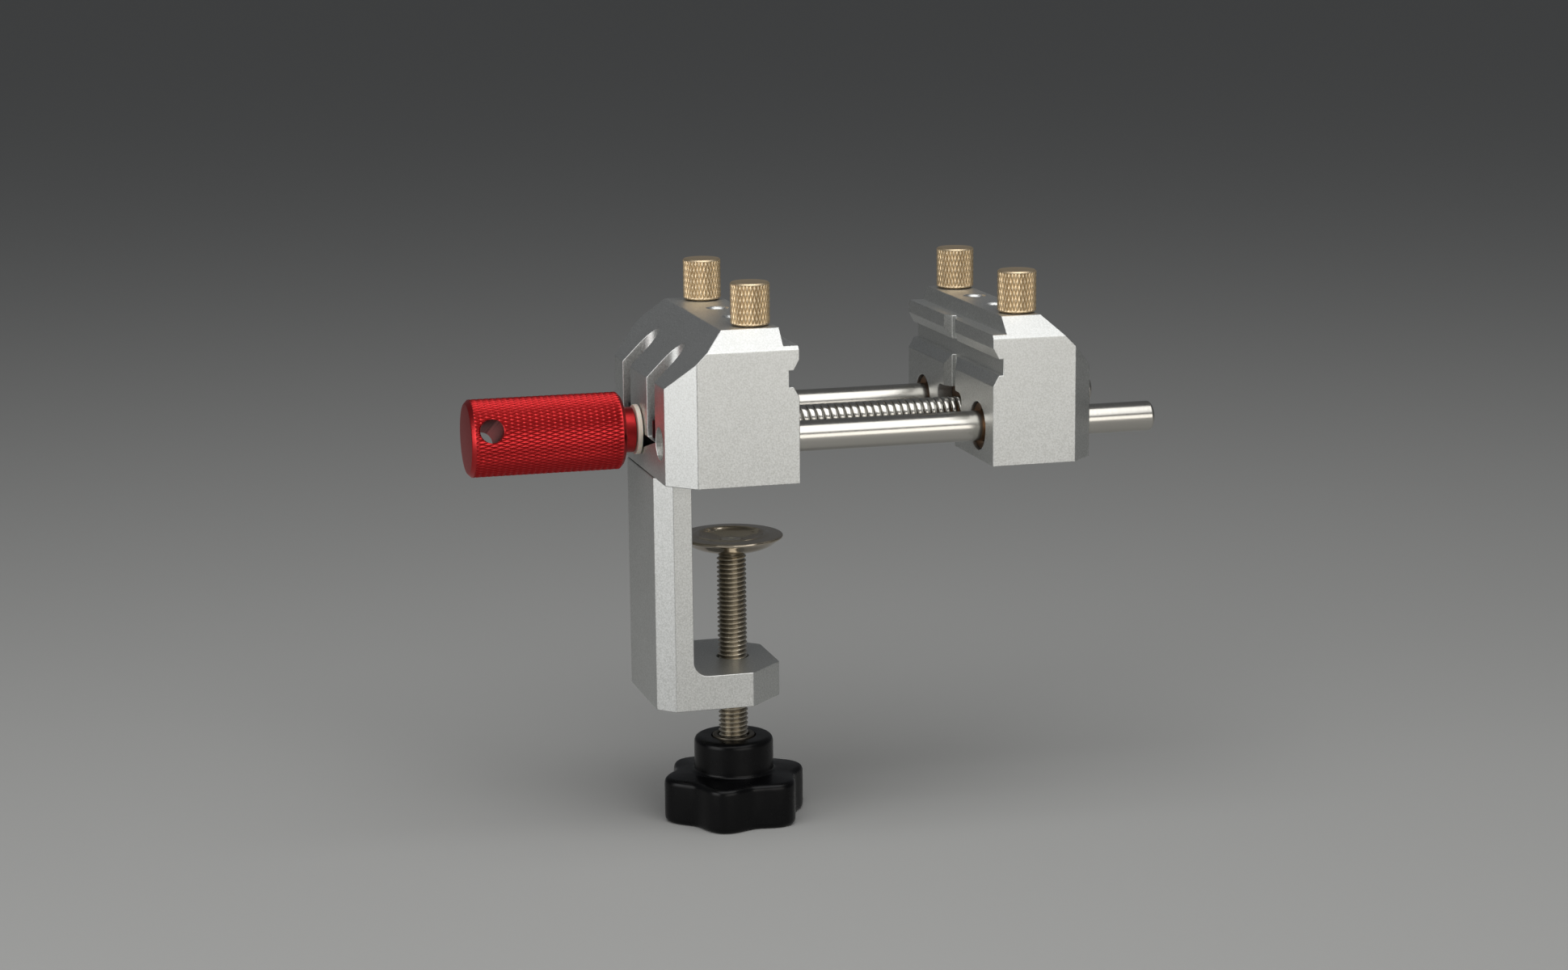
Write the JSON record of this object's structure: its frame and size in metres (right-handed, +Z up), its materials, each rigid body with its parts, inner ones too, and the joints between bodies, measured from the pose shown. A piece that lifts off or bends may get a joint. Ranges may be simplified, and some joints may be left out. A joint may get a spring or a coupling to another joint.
{
  "type": "mini bench vise",
  "caption": "Small screw vise with a clamp for a table edge: two grooved jaws on guide rods, a knurled handle, lift-out dog pins and a star-knob clamp screw.",
  "frame": {"origin": "on the clamp screw's axis, in the underside of the fixed jaw, which is the plane that rests on the bench", "axes": "+X from the handle to the moving jaw, +Y across the jaws, +Z up"},
  "size_m": [0.181, 0.072, 0.1491],
  "materials": {
    "silver_anodised": "bead blasted, clear anodised",
    "red_anodised": "knurled, red anodised",
    "ground_steel": "ground and polished",
    "zinc_steel": "zinc plated",
    "black_steel": "black oxide",
    "bronze": "sintered, matte",
    "brass": "knurled, bright",
    "nylon": "moulded",
    "black_plastic": "moulded, glossy"
  },
  "bodies": {
    "root": {"fixed_jaw_block": "silver_anodised", "clamp_frame": "silver_anodised", "frame_screw_near": "black_steel", "frame_screw_far": "black_steel", "guide_rod_near": "ground_steel", "guide_rod_far": "ground_steel", "rod_grub_screw_near": "black_steel", "rod_grub_screw_far": "black_steel", "lead_screw_bush": "bronze"},
    "moving_jaw": {"moving_jaw_block": "silver_anodised", "lead_nut": "bronze", "nut_screw_near": "black_steel", "nut_screw_far": "black_steel", "guide_bush_near_face": "bronze", "guide_bush_near_back": "bronze", "guide_bush_far_face": "bronze", "guide_bush_far_back": "bronze"},
    "lead_screw_set": {"lead_screw": "ground_steel", "handle": "red_anodised", "handle_grub_screw": "black_steel", "inner_thrust_washer": "bronze", "outer_thrust_washer": "nylon"},
    "pad": {"pressure_pad": "ground_steel"},
    "clamp_screw_set": {"clamp_screw": "zinc_steel", "star_knob": "black_plastic", "knob_insert": "zinc_steel"},
    "pin_fixed_near": {"fixed_pin_near": "brass"},
    "pin_fixed_far": {"fixed_pin_far": "brass"},
    "pin_moving_near": {"moving_pin_near": "brass"},
    "pin_moving_far": {"moving_pin_far": "brass"}
  },
  "joints": [
    {"name": "handle_turn", "type": "hinge", "parent": "root", "child": "lead_screw_set", "pos_m": [0.00485, 0, 0.01], "axis": [1, 0, 0], "range_deg": [-2160.1, 9324.1]},
    {"name": "jaw_slide", "type": "slide", "parent": "root", "child": "moving_jaw", "axis": [1, 0, 0], "range_m": [-0.0518, 0.012]},
    {"name": "clamp_turn", "type": "hinge", "parent": "pad", "child": "clamp_screw_set", "pos_m": [0, 0, -0.02], "axis": [0, 0, 1], "range_deg": [-7920.1, 3384.1]},
    {"name": "pad_travel", "type": "slide", "parent": "root", "child": "pad", "axis": [0, 0, 1], "range_m": [-0.0275, 0.01175]},
    {"name": "pin_fixed_near_lift", "type": "slide", "parent": "root", "child": "pin_fixed_near", "axis": [0, 0, 1], "range_m": [0, 0.009]},
    {"name": "pin_fixed_far_lift", "type": "slide", "parent": "root", "child": "pin_fixed_far", "axis": [0, 0, 1], "range_m": [0, 0.009]},
    {"name": "pin_moving_near_lift", "type": "slide", "parent": "moving_jaw", "child": "pin_moving_near", "axis": [0, 0, 1], "range_m": [0, 0.009]},
    {"name": "pin_moving_far_lift", "type": "slide", "parent": "moving_jaw", "child": "pin_moving_far", "axis": [0, 0, 1], "range_m": [0, 0.009]}
  ],
  "couplings": [
    {"joint": "handle_turn", "follows": "jaw_slide", "rad_per_m": -3141.6},
    {"joint": "clamp_turn", "follows": "pad_travel", "rad_per_m": 5026.5}
  ]
}
